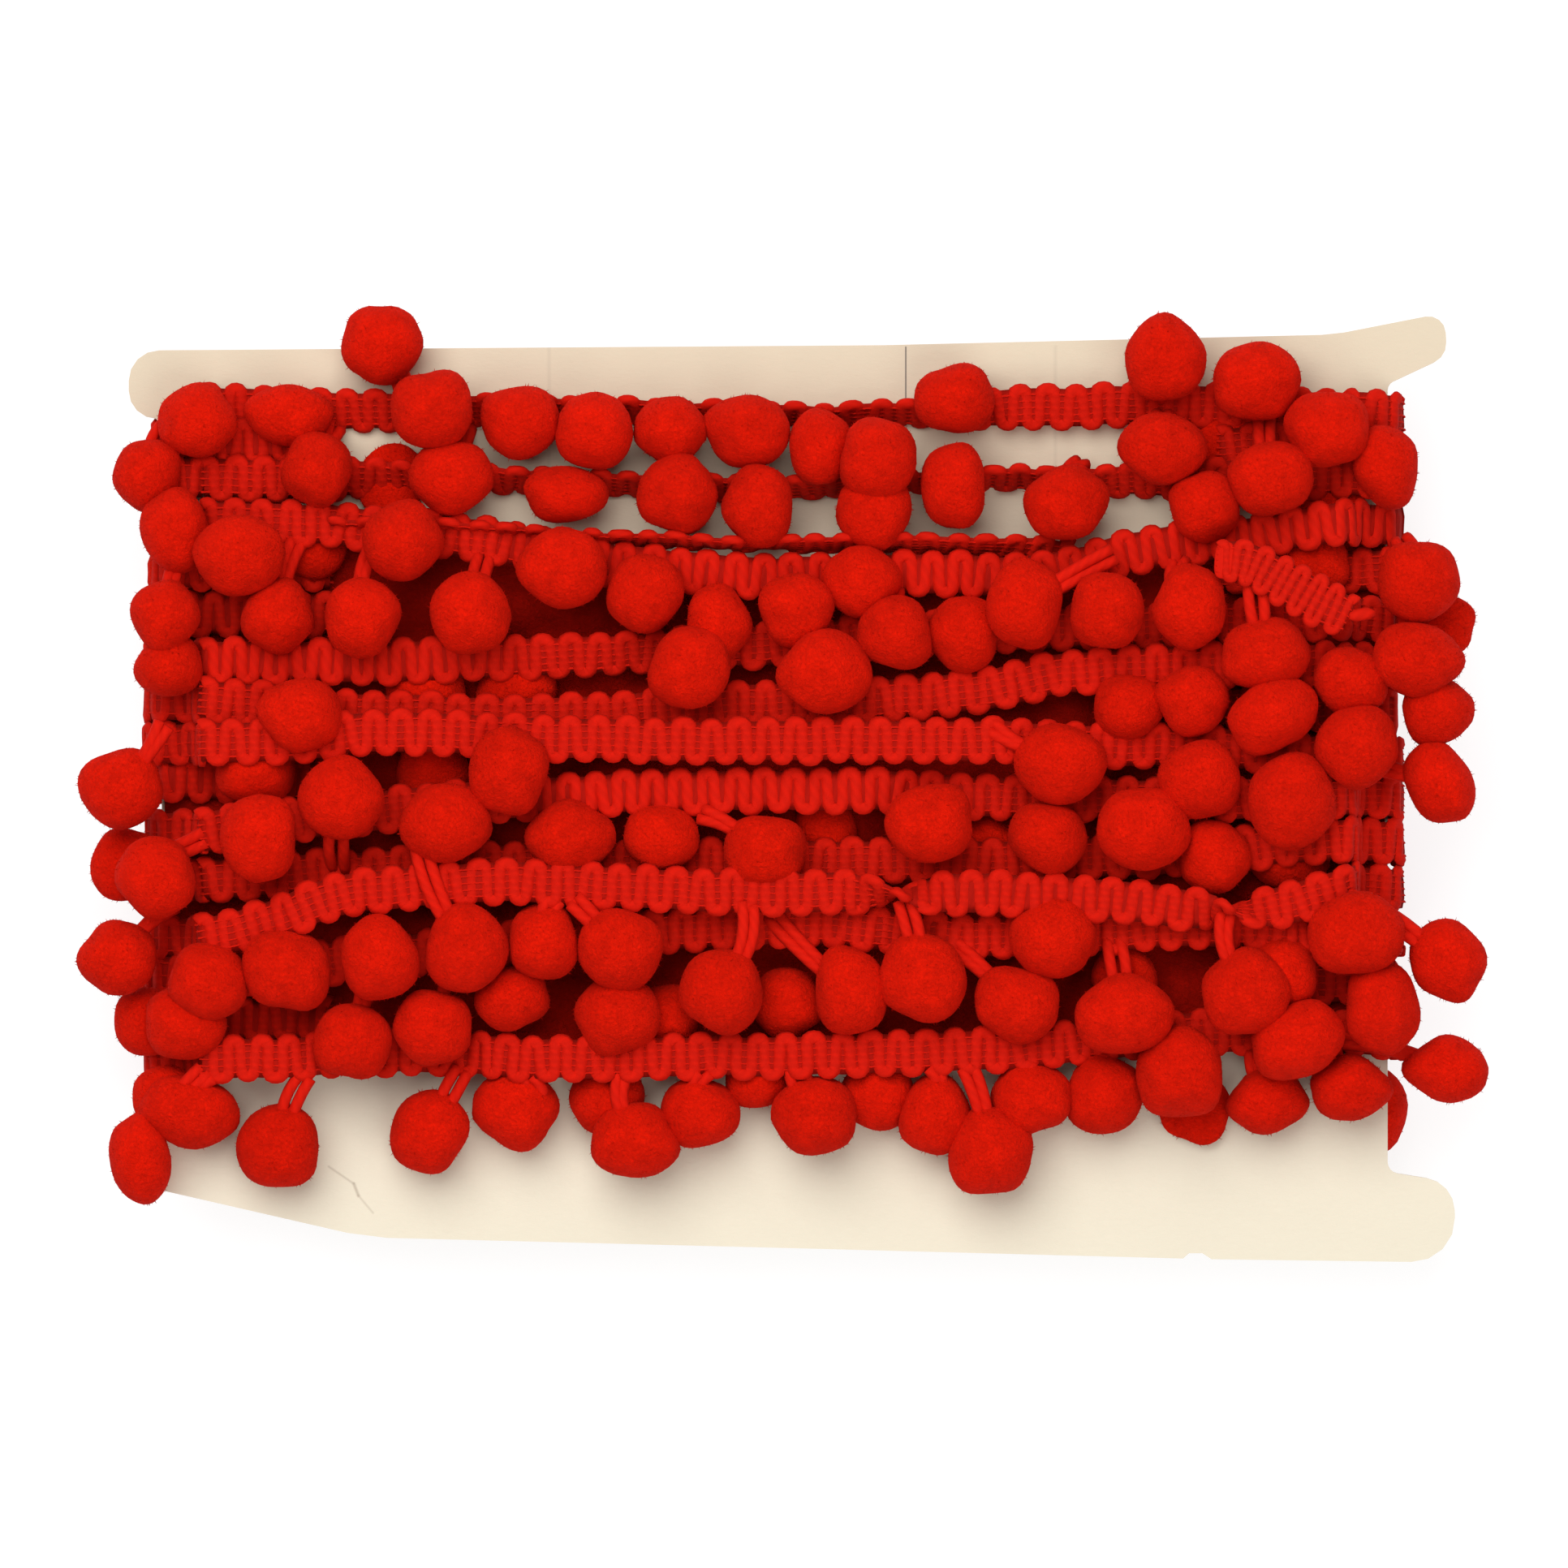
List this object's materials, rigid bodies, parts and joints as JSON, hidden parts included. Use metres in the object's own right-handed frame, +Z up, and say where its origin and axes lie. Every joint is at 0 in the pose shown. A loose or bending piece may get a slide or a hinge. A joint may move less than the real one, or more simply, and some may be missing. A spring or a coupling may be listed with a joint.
{
  "type": "pompom fringe trim wound on a paperboard card",
  "caption": "Ball fringe trim, a braid with hanging pompoms, wound round a die-cut paperboard card with one loose end.",
  "frame": {"origin": "on the resting surface, under the middle of the object's box", "axes": "+X along the card, +Y towards the card's top edge, +Z up out of the wound front face"},
  "size_m": [0.212, 0.1442, 0.0431],
  "materials": {
    "paperboard": "matt uncoated cream paperboard, slightly creased",
    "red_yarn": "matt bright red cotton and felted yarn with a fine nap"
  },
  "bodies": {
    "root": {"card": "paperboard", "wound_trim": "red_yarn", "loose_end": "red_yarn"}
  },
  "joints": []
}
